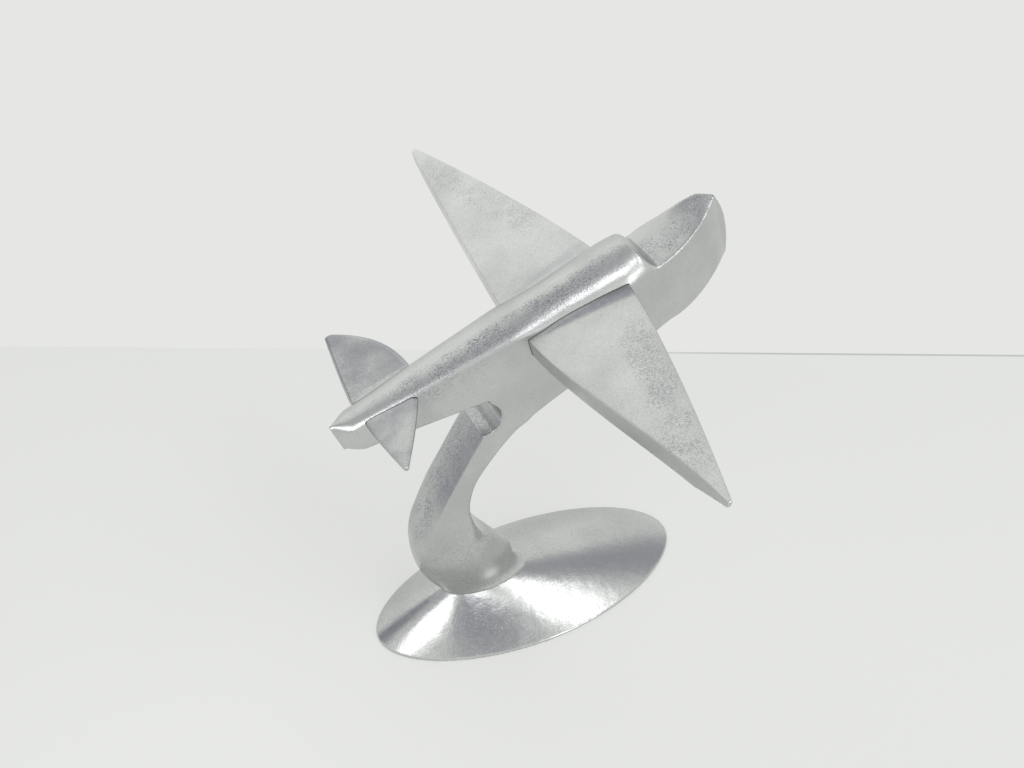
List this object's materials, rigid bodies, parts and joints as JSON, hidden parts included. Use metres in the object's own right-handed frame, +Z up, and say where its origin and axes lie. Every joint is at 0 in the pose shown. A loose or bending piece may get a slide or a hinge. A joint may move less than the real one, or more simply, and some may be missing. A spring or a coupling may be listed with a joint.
{
  "type": "model airplane on a stand",
  "caption": "Small cast aluminium airplane with tapered wings, climbing nose up from a swept stand on an oval hollow base; a desk or mantel ornament that stands on its rim.",
  "frame": {"origin": "on the table, under the middle of the whole object's bounding box", "axes": "+X towards the nose, +Y towards the airplane's port wing, +Z up"},
  "size_m": [0.1637, 0.2288, 0.182],
  "materials": {
    "aluminium": "sand cast, hand polished to a soft shine with fine casting pores left in places",
    "steel": "plain turned steel, out of sight inside the castings"
  },
  "bodies": {
    "root": {"body_casting": "aluminium", "base_casting": "aluminium", "port_wing": "aluminium", "starboard_wing": "aluminium", "port_tailplane": "aluminium", "starboard_tailplane": "aluminium", "port_wing_pin": "steel", "starboard_wing_pin": "steel", "port_tail_pin": "steel", "starboard_tail_pin": "steel", "base_screw": "steel", "base_washer": "steel", "base_dowel": "steel"}
  },
  "joints": []
}
